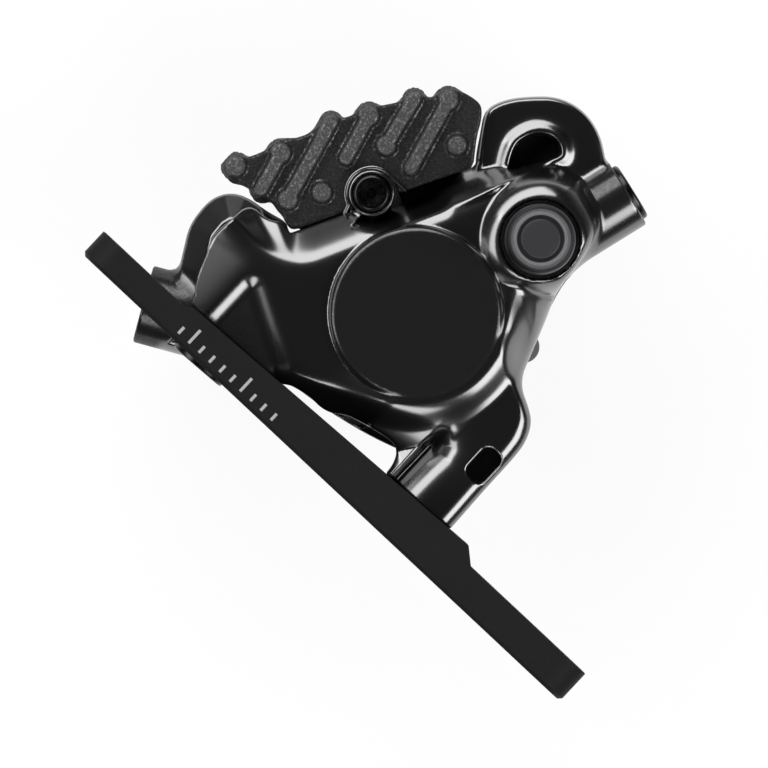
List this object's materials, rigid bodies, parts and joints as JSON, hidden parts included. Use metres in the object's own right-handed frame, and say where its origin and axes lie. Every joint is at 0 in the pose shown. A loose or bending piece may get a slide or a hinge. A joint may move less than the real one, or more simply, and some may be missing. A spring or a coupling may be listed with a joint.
{
  "type": "bicycle disc brake caliper",
  "caption": "Flat-mount hydraulic disc brake caliper with finned pads, opposed pistons, pad axle and capped bleed nipple, bolted to a wedge-shaped adapter bracket.",
  "frame": {"origin": "on the adapter bracket's fork face, midway between the two fork slots", "axes": "+X along the bracket, +Y towards the wheel across the rotor, +Z away from the fork"},
  "size_m": [0.0884, 0.0458, 0.0646],
  "materials": {
    "body": "satin black paint over cast aluminium",
    "bracket": "matt black anodised, fine grain",
    "bolt_steel": "black-finished steel",
    "seal_rubber": "smooth rubber",
    "cap_rubber": "dull dark grey rubber",
    "piston_ceramic": "off-white ceramic",
    "plate_steel": "plain steel",
    "lining": "rough pressed friction material",
    "fin_aluminium": "dark coated cast aluminium",
    "spring_steel": "bright spring steel",
    "screw_steel": "stainless steel"
  },
  "bodies": {
    "caliper": {"outer_body_half": "body", "inner_body_half": "body", "body_bolts": "bolt_steel", "crossover_seal": "seal_rubber", "mount_bracket": "bracket", "caliper_fixing_bolts": "bolt_steel", "outer_piston_seal": "seal_rubber", "inner_piston_seal": "seal_rubber", "pad_axle": "screw_steel", "axle_snap_ring": "spring_steel", "pad_spring": "spring_steel", "gallery_plug": "bolt_steel", "gallery_plug_seal": "seal_rubber"},
    "outer_piston": {"outer_piston": "piston_ceramic"},
    "inner_piston": {"inner_piston": "piston_ceramic"},
    "outer_pad": {"outer_pad_plate": "plate_steel", "outer_pad_lining": "lining", "outer_pad_fin": "fin_aluminium"},
    "inner_pad": {"inner_pad_plate": "plate_steel", "inner_pad_lining": "lining", "inner_pad_fin": "fin_aluminium"},
    "bleed_nipple": {"bleed_nipple": "screw_steel"},
    "bleed_cap": {"bleed_cap": "cap_rubber"}
  },
  "joints": [
    {"name": "outer_piston_slide", "type": "slide", "parent": "caliper", "child": "outer_piston", "axis": [0, 1, 0], "range_m": [0, 0.0011], "stiffness_N_per_m": 3000},
    {"name": "inner_piston_slide", "type": "slide", "parent": "caliper", "child": "inner_piston", "axis": [0, -1, 0], "range_m": [0, 0.0011]},
    {"name": "outer_pad_slide", "type": "slide", "parent": "caliper", "child": "outer_pad", "axis": [0, 1, 0], "range_m": [0, 0.0011], "deforming": ["pad_spring"]},
    {"name": "inner_pad_slide", "type": "slide", "parent": "caliper", "child": "inner_pad", "axis": [0, -1, 0], "range_m": [0, 0.0011], "deforming": ["pad_spring"]},
    {"name": "bleed_nipple_turn", "type": "hinge", "parent": "caliper", "child": "bleed_nipple", "pos_m": [-0.0002, -0.0068, 0.0437], "axis": [0, -1, 0], "range_deg": [0, 45]},
    {"name": "bleed_cap_pull", "type": "slide", "parent": "caliper", "child": "bleed_cap", "axis": [0, -1, 0], "range_m": [0, 0.012]}
  ],
  "couplings": [
    {"joint": "inner_piston_slide", "follows": "outer_piston_slide", "ratio": 1},
    {"joint": "outer_pad_slide", "follows": "outer_piston_slide", "ratio": 1},
    {"joint": "inner_pad_slide", "follows": "outer_piston_slide", "ratio": 1}
  ]
}
